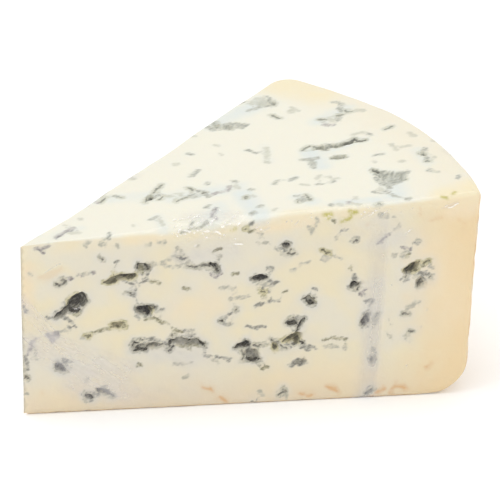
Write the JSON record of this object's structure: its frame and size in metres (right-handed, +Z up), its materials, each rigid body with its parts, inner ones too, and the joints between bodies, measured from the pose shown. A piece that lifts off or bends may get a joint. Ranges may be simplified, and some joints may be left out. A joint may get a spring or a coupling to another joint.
{
  "type": "blue cheese wedge",
  "caption": "Wedge of creamy blue cheese with mould pockets in its cut faces and a rind on its curved side.",
  "frame": {"origin": "on the resting plane, under the middle of the wedge's bounding box", "axes": "+X from the tip along the front cut, the wedge's longest side; +Z up, its shortest; the front cut faces -Y"},
  "size_m": [0.1004, 0.0734, 0.048],
  "materials": {
    "cheese": "moist cream-coloured cheese with blue-green mould, under clear stretched film"
  },
  "bodies": {
    "root": {"cheese_wedge": "cheese"}
  },
  "joints": []
}
